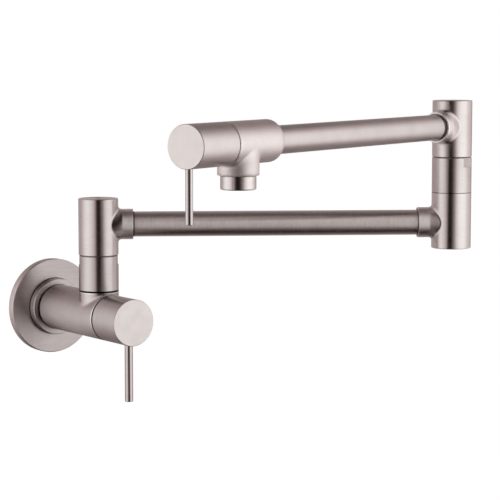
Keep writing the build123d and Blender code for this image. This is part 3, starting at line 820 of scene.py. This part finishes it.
finish("outlet_body", brushed_steel(
    "outlet_steel", outlet_line,
    Beyond(spout_line, OUTLET_BARREL + 0.0001, blend=0.003, tone=1.03, rougher=0.16), softened=0.004,
    gaps=(outlet_knob_joint,), edges=(outlet_knob_edge,),
    roughness=0.44, anisotropy=0.35, tone=1.21, contrast=0.6,
))
finish("outlet_knob", brushed_steel(
    "outlet_knob_steel", outlet_line, flats=UP, gaps=(outlet_knob_joint,),
    roughness=0.43, anisotropy=0.5, tone=1.10, contrast=0.6,
))
finish("outlet_lever", brushed_steel(
    "outlet_lever_steel", Line(sum(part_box("outlet_lever"), Vector()) / 2, UP), roughness=0.2, tone=0.84,
))
print("steel on", len(dressed), "pieces")

# %% [markdown]
# ## Rubber, plastic, fibre and ceramic
#
# The pieces inside the valves and swivels show when the tap is taken apart: rubber with a bloom, moulded
# plastic, red fibre washers and lapped ceramic discs. One flat colour each would do from afar. Two close
# colours, mixed by a fine grain, also give the surface that a mould or a press leaves.

# %% Soft and ceramic finishes
GRAIN_SHARE = 0.6
GRAIN_RANGE = (0.35, 0.65)
GRAINS_IN_A_PATCH = 12
SOFT_DULLING = 0.05
SOFT_FINISHES = {
    "black_rubber": dict(
        dark=(0.018, 0.018, 0.018), pale=(0.045, 0.044, 0.043), grain=0.0004, roughness=0.62, bump=0.00002,
        specular=0.35, sheen=0.15,
    ),
    "black_plastic": dict(
        dark=(0.022, 0.022, 0.024), pale=(0.040, 0.040, 0.042), grain=0.0008, roughness=0.38, bump=0.000008,
    ),
    "fibre_washer": dict(
        dark=(0.34, 0.07, 0.045), pale=(0.56, 0.17, 0.11), grain=0.0003, roughness=0.75, bump=0.00003,
        specular=0.3,
    ),
    "grey_plastic": dict(
        dark=(0.56, 0.58, 0.60), pale=(0.66, 0.68, 0.70), grain=0.0009, roughness=0.42, bump=0.000008,
    ),
    "disc_ceramic": dict(
        dark=(0.86, 0.85, 0.82), pale=(0.92, 0.91, 0.88), grain=0.0005, roughness=0.16, bump=0.000002,
    ),
}


def soft_material(name, dark, pale, grain, roughness, bump, specular=0.5, sheen=0.0):
    material, tree = empty_material(name)
    place = add(tree, "ShaderNodeTexCoord").outputs["Object"]
    fine = noise(tree, place, 1 / grain, detail=5.0)
    patches = group_node(tree, handling, patch_size=grain * GRAINS_IN_A_PATCH)
    share = maths(
        tree, "ADD", maths(tree, "MULTIPLY", fine, GRAIN_SHARE),
        maths(tree, "MULTIPLY", patches["Tone"], 1 - GRAIN_SHARE),
    )
    colour = mixed_colour(tree, fading(tree, share, *GRAIN_RANGE), (*dark, 1), (*pale, 1))
    satin = fading(
        tree, patches["Dulling"], *USUAL_NOISE, roughness - SOFT_DULLING, roughness + SOFT_DULLING,
    )
    raised = add(tree, "ShaderNodeBump", {"Height": fine, "Distance": bump}).outputs[0]
    finished(tree, add(tree, "ShaderNodeBsdfPrincipled", {
        "Base Color": colour, "Roughness": satin, "Specular IOR Level": specular, "Sheen Weight": sheen,
        "Normal": raised,
    }))
    return material


inner_finishes = {name: soft_material(name, **look) for name, look in SOFT_FINISHES.items()}
print(len(inner_finishes), "finishes of rubber, plastic, fibre and ceramic")

# %% [markdown]
# ## Turned brass and spring steel
#
# The headworks, spindles and nipple are turned brass, which darkens unevenly as it ages, and the clips are
# spring steel, blued by its hardening. Both show the lathe's rings about the axis of their valve or swivel,
# so each of those places has its own material.

# %% Machined finishes
FRESH_BRASS, OLD_BRASS = (0.80, 0.62, 0.33), (0.56, 0.40, 0.19)
SPRING, BLUED = (0.50, 0.50, 0.51), (0.34, 0.35, 0.38)
TARNISH_PATCH, TARNISH_RANGE = 0.007, (0.4, 0.75)
TURNED_SHADES = (0.82, 1.1)
TURNED_DULLING = 0.06


def machined(name, line, fresh, tarnish, roughness):
    """Turned metal with a film of tarnish."""
    material, tree = empty_material(name)
    normal = add(tree, "ShaderNodeNewGeometry").outputs["Normal"]
    across = across_turned(tree, line, normal)[0]
    marks = round_lines(tree, line, line_width=0.0008, streak_length=0.03, contrast=0.9)
    patches = group_node(tree, handling, patch_size=TARNISH_PATCH)
    film = fading(tree, patches["Tone"], *TARNISH_RANGE)
    colour = mixed_colour(tree, film, (*fresh, 1), (*tarnish, 1))
    shading = fading(tree, marks["Shade"], 0.0, 1.0, *TURNED_SHADES)
    satin = fading(
        tree, patches["Dulling"], *USUAL_NOISE, roughness - TURNED_DULLING, roughness + TURNED_DULLING,
    )
    raised = add(tree, "ShaderNodeBump", {"Height": marks["Height"], "Distance": 0.00002}).outputs[0]
    finished(tree, add(tree, "ShaderNodeBsdfPrincipled", {
        "Base Color": mixed_colour(tree, 1.0, colour, shading, "MULTIPLY"), "Metallic": 1.0,
        "Roughness": satin, "Anisotropic": 0.7, "Normal": raised, "Tangent": across,
    }))
    return material


places = {
    "wall": wall_line, "lower": lower_line, "upper": upper_line, "outlet": outlet_line, "aerator": spout_line,
}
for where, line in places.items():
    inner_finishes["brass", where] = machined("brass_" + where, line, FRESH_BRASS, OLD_BRASS, 0.30)
    inner_finishes["spring_steel", where] = machined("spring_steel_" + where, line, SPRING, BLUED, 0.34)
print("brass and spring steel for", len(places), "places")

# %% [markdown]
# ### Dress the inner pieces
#
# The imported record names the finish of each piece, and the first word of a piece's name says which valve or
# swivel it belongs to. A list by hand would say the same twice. The steel pieces are left as they are, and
# the aerator's housing is turned afresh below.

# %% Inner pieces
for part in frame["record"]["subparts"]:
    node, slot = part["node"], part["material_slot"]
    where = node.split("_")[0].replace("inlet", "wall")
    material = inner_finishes.get(slot) or inner_finishes.get((slot, where))
    if material:
        finish(node, material)
print(len(dressed), "pieces finished, all but", *(set(frame["nodes"]) - set(dressed)))

# %% [markdown]
# ## A thread and fine grooves, cut by Geometry Nodes
#
# The inlet's pipe thread and the fine grooves round the aerator are both turned on a lathe: the section of
# the piece is swept round its axis, and the tool then cuts a V at every pitch. A Screw modifier could sweep
# the section, but not cut it. A thread is that V climbing by one pitch a turn, and grooves are the same V
# that doesn't climb, so one Geometry Nodes tree makes both. Its input is the section as a row of points.

# %% The lathe tree's inputs
SEGMENTS = 96
LATHE_SOCKETS = (
    ("Section", "NodeSocketGeometry", None), ("Rows", "NodeSocketInt", 10),
    ("Segments", "NodeSocketInt", SEGMENTS), ("Cut Radius", NUMBER, 0.01), ("Pitch", NUMBER, 0.001),
    ("Depth", NUMBER, 0.0), ("Start", NUMBER, 0.0), ("End", NUMBER, 0.01), ("Run Out", NUMBER, 0.001),
    ("Climb", NUMBER, 1.0), ("Finish", "NodeSocketMaterial", None),
)
lathe = bpy.data.node_groups.new("lathe", "GeometryNodeTree")
socket_ids = {}
for label, kind, value in LATHE_SOCKETS:
    socket = lathe.interface.new_socket(label, in_out="INPUT", socket_type=kind)
    if value is not None:
        socket.default_value = value
    socket_ids[label] = socket.identifier
lathe.interface.new_socket("Geometry", in_out="OUTPUT", socket_type="NodeSocketGeometry")
given = lathe.nodes.new("NodeGroupInput").outputs
result = lathe.nodes.new("NodeGroupOutput").inputs
print("lathe with", len(socket_ids), "inputs")

# %% [markdown]
# ### The blank: a grid that follows the section
#
# A flat grid has a row for each point of the section and a column for each step of the turn. Every row
# looks up the radius and the station of its own point, and every column knows what share of a turn it
# stands for.

# %% The lathe tree's blank
grid = add(lathe, "GeometryNodeMeshGrid", {
    "Size X": 1.0, "Size Y": 1.0,
    "Vertices X": maths(lathe, "ADD", given["Segments"], 1.0), "Vertices Y": given["Rows"],
}).outputs["Mesh"]
position = add(lathe, "GeometryNodeInputPosition").outputs[0]
spot = add(lathe, "ShaderNodeSeparateXYZ", {0: position}).outputs
turn = maths(lathe, "ADD", spot["X"], 0.5)
last_row = maths(lathe, "SUBTRACT", given["Rows"], 1.0)
row = maths(lathe, "MULTIPLY", maths(lathe, "ADD", spot["Y"], 0.5), last_row)
sample = add(lathe, "GeometryNodeSampleIndex", {
    "Geometry": given["Section"], "Value": position, "Index": maths(lathe, "ROUND", row),
}, data_type="FLOAT_VECTOR")
section_spot = add(lathe, "ShaderNodeSeparateXYZ", {0: sample.outputs[0]}).outputs
radius, station = section_spot["X"], section_spot["Z"]
print("blank of", len(lathe.nodes), "nodes")

# %% [markdown]
# ### The cut
#
# The tool's V comes round once in every pitch. It cuts only the outside of the piece, and it runs in and
# out at the ends instead of stopping dead, as a real tool does. The V has a narrow flat at its crest and at
# its root.

# %% The lathe tree's cut
CREST, ROOT = 0.12, 0.88
JUST_INSIDE = 0.999

climbed = maths(lathe, "MULTIPLY", turn, given["Climb"])
phase = maths(lathe, "SUBTRACT", maths(lathe, "DIVIDE", station, given["Pitch"]), climbed)
to_crest = maths(lathe, "ABSOLUTE", maths(lathe, "MULTIPLY_ADD", maths(lathe, "FRACT", phase), 2.0, -1.0))
groove = fading(lathe, to_crest, CREST, ROOT)
run_in = fading(lathe, station, given["Start"], maths(lathe, "ADD", given["Start"], given["Run Out"]))
leaving = maths(lathe, "SUBTRACT", given["End"], given["Run Out"])
run_out = fading(lathe, station, leaving, given["End"], 1.0, 0.0)
outside = maths(lathe, "GREATER_THAN", radius, maths(lathe, "MULTIPLY", given["Cut Radius"], JUST_INSIDE))
in_reach = maths(lathe, "MULTIPLY", maths(lathe, "MULTIPLY", run_in, run_out), outside)
cut = maths(lathe, "MULTIPLY", maths(lathe, "MULTIPLY", groove, in_reach), given["Depth"])
cut_radius = maths(lathe, "SUBTRACT", radius, cut)
print("cut ready,", len(lathe.nodes), "nodes so far")

# %% [markdown]
# ### Wrapped round the axis
#
# The grid is bent round into the finished piece, its seam is merged, and it gets its material. Realize
# Instances stands at the end, so that what leaves the tree is real mesh.

# %% The lathe tree's end
SEAM = 1e-6

angle = maths(lathe, "MULTIPLY", turn, 2 * math.pi)
wrapped = add(lathe, "ShaderNodeCombineXYZ", {
    0: maths(lathe, "MULTIPLY", cut_radius, maths(lathe, "COSINE", angle)),
    1: maths(lathe, "MULTIPLY", cut_radius, maths(lathe, "SINE", angle)), 2: station,
}).outputs[0]
swept = add(lathe, "GeometryNodeSetPosition", {"Geometry": grid, "Position": wrapped}).outputs[0]
closed = add(lathe, "GeometryNodeMergeByDistance", {"Geometry": swept, "Distance": SEAM}).outputs[0]
real = add(lathe, "GeometryNodeRealizeInstances", {"Geometry": closed}).outputs[0]
coated = add(lathe, "GeometryNodeSetMaterial", {"Geometry": real, "Material": given["Finish"]}).outputs[0]
lathe.links.new(coated, result["Geometry"])
print("lathe tree of", len(lathe.nodes), "nodes")

# %% [markdown]
# ### Turn a piece on the lathe
#
# The modifier could stay on the piece, but the kept model wants plain meshes. So the tree is worked out
# once, its result becomes the piece's mesh, and the modifier goes. The faces then point outwards, and only
# true corners stay sharp.

# %% Turn a piece
SHARP = math.radians(35)


def turned_piece(name, section, to_place, material, **sizes):
    """section is a closed row of (radius, station); to_place moves the piece from the lathe to the tap."""
    blank = bpy.data.meshes.new(name + "_section")
    blank.from_pydata([(radius, 0, station) for radius, station in section], [], [])
    work = new_object(name, blank)
    modifier = work.modifiers.new("lathe", "NODES")
    modifier.node_group = lathe
    for label, value in dict(Rows=len(section), Segments=SEGMENTS, Finish=material, **sizes).items():
        modifier[socket_ids[label.replace("_", " ")]] = value
    bpy.context.view_layer.update()
    mesh = bpy.data.meshes.new_from_object(work.evaluated_get(bpy.context.evaluated_depsgraph_get()))
    work.modifiers.remove(modifier)
    work.data = mesh
    mesh.name = name
    mesh.transform(to_place)
    shape = bmesh.new()
    shape.from_mesh(mesh)
    bmesh.ops.recalc_face_normals(shape, faces=shape.faces)
    shape.to_mesh(mesh)
    open_edges = sum(not edge.is_manifold for edge in shape.edges)
    shape.free()
    mesh.polygons.foreach_set("use_smooth", [True] * len(mesh.polygons))
    mesh.set_sharp_from_angle(angle=SHARP)
    print(name, len(mesh.polygons), "faces,", open_edges, "open edges")
    return work


def stations(start, end, step):
    """Evenly spaced stations from start to end, about a step apart."""
    count = max(1, round(abs(end - start) / step))
    return [start + (end - start) * i / count for i in range(count + 1)]


print("edges sharper than", round(math.degrees(SHARP)), "degrees stay sharp")

# %% [markdown]
# ### The inlet's pipe thread
#
# The nipple behind the flange screws into the elbow in the wall. A half inch pipe thread has 14 turns to
# the inch. It is hidden once the tap hangs, but shows first when the loose part is seen from behind. Lines
# drawn in the finish would look flat at the outline, so the thread is cut into the mesh.

# %% Threaded inlet
INCH = 0.0254
THREAD_RADIUS, THREAD_PITCH, THREAD_DEPTH = 0.01048, INCH / 14, 0.00116
THREAD_BACK, THREAD_FRONT, THREAD_OVERRUN, END_CHAMFER = -0.0200, 0.0010, 0.0002, 0.0010
RELIEF_RADIUS, RELIEF_END, NIPPLE_FRONT, NIPPLE_BORE = 0.0096, 0.0060, 0.0178, 0.0070
SHANK_RADIUS = THREAD_RADIUS - 0.0001
POINTS_IN_A_THREAD = 10

thread_start = THREAD_BACK + END_CHAMFER
thread_rows = stations(thread_start, THREAD_FRONT, THREAD_PITCH / POINTS_IN_A_THREAD)
nipple_section = (
    [(NIPPLE_BORE, THREAD_BACK), (THREAD_RADIUS - END_CHAMFER, THREAD_BACK)]
    + [(THREAD_RADIUS, station) for station in thread_rows]
    + [(RELIEF_RADIUS, THREAD_FRONT), (RELIEF_RADIUS, RELIEF_END), (SHANK_RADIUS, RELIEF_END)]
    + [(SHANK_RADIUS, NIPPLE_FRONT), (NIPPLE_BORE, NIPPLE_FRONT), (NIPPLE_BORE, THREAD_BACK)]
)
nipple = turned_piece(
    "threaded_inlet", nipple_section, Matrix.Rotation(math.radians(90), 4, "X"),
    inner_finishes["brass", "wall"],
    Cut_Radius=THREAD_RADIUS, Pitch=THREAD_PITCH, Depth=THREAD_DEPTH, Start=thread_start - THREAD_PITCH / 2,
    End=THREAD_FRONT + THREAD_OVERRUN, Run_Out=THREAD_PITCH / 2,
)
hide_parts("inlet_nipple")
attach(nipple, "wall_side")

# %% [markdown]
# ### The aerator's ring
#
# The ring at the spout's mouth holds the aerator. It is brighter than the rest of the tap, with fine turned
# grooves round it, and its lower edge is rounded over to a lip. The plain solid could carry painted
# grooves, but the light catches cut ones as it does on the real ring.

# %% Grooved aerator ring
low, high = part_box("aerator_housing")
RING_RADIUS, RING_BORE, RING_ROUNDING = 0.0120, 0.0104, 0.0012
LIP_BORE, LIP_HEIGHT = 0.0094, 0.0014
RING_TOP, RING_FOOT = outer_height - high.z, outer_height - low.z
SPOUT_FOOT = 0.0214
GROOVE_PITCH, GROOVE_DEPTH, GROOVE_RUN_OUT = 0.0009, 0.00004, 0.0004
POINTS_IN_A_GROOVE = 8
ROUNDING_STEPS = 8

groove_end = RING_FOOT - RING_ROUNDING
groove_rows = stations(RING_TOP, groove_end, GROOVE_PITCH / POINTS_IN_A_GROOVE)
rounding = [
    (RING_RADIUS - RING_ROUNDING * (1 - math.cos(a)), RING_FOOT - RING_ROUNDING * (1 - math.sin(a)))
    for a in (math.pi / 2 * step / ROUNDING_STEPS for step in range(1, ROUNDING_STEPS + 1))
]
lip_top = RING_FOOT - LIP_HEIGHT
ring_section = (
    [(RING_BORE, RING_TOP)] + [(RING_RADIUS, station) for station in groove_rows] + rounding
    + [(LIP_BORE, RING_FOOT), (LIP_BORE, lip_top), (RING_BORE, lip_top), (RING_BORE, RING_TOP)]
)
spout_joint = Circle(spout_line, SPOUT_FOOT, RING_RADIUS, half_width=0.0003)
aerator_steel = brushed_steel("aerator_steel", spout_line, gaps=(spout_joint,), roughness=0.30, tone=1.05)
ring = turned_piece(
    "grooved_aerator_ring", ring_section,
    Matrix.Translation(outlet_line.point) @ Matrix.Rotation(math.pi, 4, "X"), aerator_steel,
    Cut_Radius=RING_RADIUS, Pitch=GROOVE_PITCH, Depth=GROOVE_DEPTH, Start=SPOUT_FOOT + GROOVE_RUN_OUT,
    End=groove_end, Run_Out=GROOVE_RUN_OUT, Climb=0.0,
)
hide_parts("aerator_housing")
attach(ring, "outer_arm")
